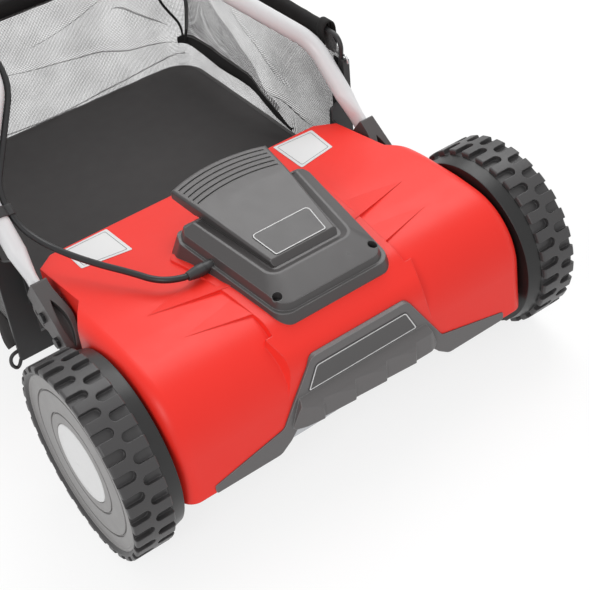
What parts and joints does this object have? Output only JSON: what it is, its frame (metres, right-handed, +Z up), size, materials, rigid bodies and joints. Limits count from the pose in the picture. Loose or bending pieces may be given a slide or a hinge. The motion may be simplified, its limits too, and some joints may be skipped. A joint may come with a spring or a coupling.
{
  "type": "reel mower",
  "caption": "Electric reel mower with a moulded deck over a helical blade reel, slotted wheels, rear roller, folding tube handle and an open mesh grass catcher.",
  "frame": {"origin": "bottom centre of the machine's box, on the ground between the wheels and the handle's end", "axes": "+X to the pusher's left, +Y from the bumper towards the handle, +Z up"},
  "size_m": [0.581, 1.064, 0.949],
  "materials": {
    "red_shell": "glossy",
    "grey_plastic": "satin",
    "black_plastic": "satin",
    "pale_plastic": "satin",
    "dark_wheel": "satin",
    "tyre_rubber": "matte",
    "silver_tube": "satin",
    "zinc_steel": "satin",
    "painted_steel": "satin",
    "blade_steel": "satin",
    "lead_rubber": "satin",
    "belt_rubber": "matte",
    "foam": "matte",
    "brass_pin": "polished",
    "charcoal_sheet": "matte",
    "mesh_fabric": "matte",
    "black_fabric": "matte",
    "orange_plastic": "satin"
  },
  "bodies": {
    "deck": {"deck_housing": "red_shell", "front_bumper": "grey_plastic", "motor_cover": "grey_plastic", "motor_hood": "grey_plastic", "cover_screws": "black_plastic", "lead_gland": "black_plastic", "motor_tray": "black_plastic", "motor_housing": "zinc_steel", "drive_belt": "belt_rubber", "left_side_plate": "painted_steel", "right_side_plate": "painted_steel", "shaft_bearings": "zinc_steel", "plate_spacers": "zinc_steel", "deck_bolts": "zinc_steel", "bed_knife": "blade_steel", "knife_bar": "painted_steel", "knife_screws": "zinc_steel", "chute_plate": "black_plastic", "stub_axles": "zinc_steel", "axle_fasteners": "zinc_steel", "deck_pins": "zinc_steel", "lower_tubes": "silver_tube", "handle_arms": "black_plastic", "fold_bolts": "zinc_steel", "fold_knobs": "black_plastic", "lead_lower": "lead_rubber", "lead_bridge": "lead_rubber", "lower_clips": "black_plastic"},
    "reel": {"reel_shaft": "zinc_steel", "reel_blades": "blade_steel", "reel_spiders": "painted_steel", "reel_pulley": "black_plastic"},
    "motor_rotor": {"motor_armature": "zinc_steel", "motor_fan": "black_plastic", "motor_pulley": "zinc_steel"},
    "left_wheel": {"left_wheel_disc": "dark_wheel", "left_tyre": "tyre_rubber", "left_hub_cap": "pale_plastic"},
    "right_wheel": {"right_wheel_disc": "dark_wheel", "right_tyre": "tyre_rubber", "right_hub_cap": "pale_plastic"},
    "roller_carrier": {"roller_brackets": "painted_steel", "roller_axle": "zinc_steel", "height_knobs": "black_plastic"},
    "roller": {"rear_roller": "black_plastic"},
    "upper_handle": {"upper_tube": "silver_tube", "foam_grip": "foam", "switch_box": "black_plastic", "inlet_pins": "brass_pin", "lead_upper": "lead_rubber", "upper_clips": "black_plastic"},
    "lever": {"switch_lever": "painted_steel"},
    "button": {"lock_button": "orange_plastic"},
    "catcher": {"catcher_floor": "charcoal_sheet", "catcher_frame": "black_plastic", "catcher_rim": "zinc_steel", "catcher_left_mesh": "mesh_fabric", "catcher_rear_mesh": "mesh_fabric", "catcher_right_mesh": "mesh_fabric", "catcher_binding": "black_fabric"}
  },
  "joints": [
    {"name": "reel_spin", "type": "hinge", "parent": "deck", "child": "reel", "pos_m": [0, -0.44205, 0.084], "axis": [1, 0, 0], "continuous": true},
    {"name": "motor_spin", "type": "hinge", "parent": "deck", "child": "motor_rotor", "pos_m": [0, -0.39005, 0.184], "axis": [1, 0, 0], "continuous": true},
    {"name": "left_wheel_spin", "type": "hinge", "parent": "deck", "child": "left_wheel", "pos_m": [-0.268, -0.42205, 0.11], "axis": [1, 0, 0], "continuous": true},
    {"name": "right_wheel_spin", "type": "hinge", "parent": "deck", "child": "right_wheel", "pos_m": [0.268, -0.42205, 0.11], "axis": [1, 0, 0], "continuous": true},
    {"name": "cut_height", "type": "hinge", "parent": "deck", "child": "roller_carrier", "pos_m": [0, -0.35205, 0.062], "axis": [1, 0, 0], "range_deg": [-8, 8]},
    {"name": "roller_spin", "type": "hinge", "parent": "roller_carrier", "child": "roller", "pos_m": [0, -0.27205, 0.022], "axis": [1, 0, 0], "continuous": true},
    {"name": "handle_fold", "type": "hinge", "parent": "deck", "child": "upper_handle", "pos_m": [0, 0.005, 0.4045], "axis": [1, 0, 0], "range_deg": [0, 145], "deforming": ["lead_bridge"]},
    {"name": "lever_squeeze", "type": "hinge", "parent": "upper_handle", "child": "lever", "pos_m": [-0.036, 0.47043, 0.88646], "axis": [1, 0, 0], "range_deg": [0, 22], "stiffness_Nm_per_rad": 0.8, "springref_deg": -17.19},
    {"name": "button_press", "type": "slide", "parent": "upper_handle", "child": "button", "axis": [0, 0.7193, -0.6947], "range_m": [0, 0.004], "stiffness_N_per_m": 600, "springref_m": -0.002},
    {"name": "catcher_pull", "type": "slide", "parent": "deck", "child": "catcher", "axis": [0, 0.9397, 0.342], "range_m": [0, 0.42]}
  ],
  "couplings": [
    {"joint": "motor_spin", "follows": "reel_spin", "ratio": 2}
  ]
}
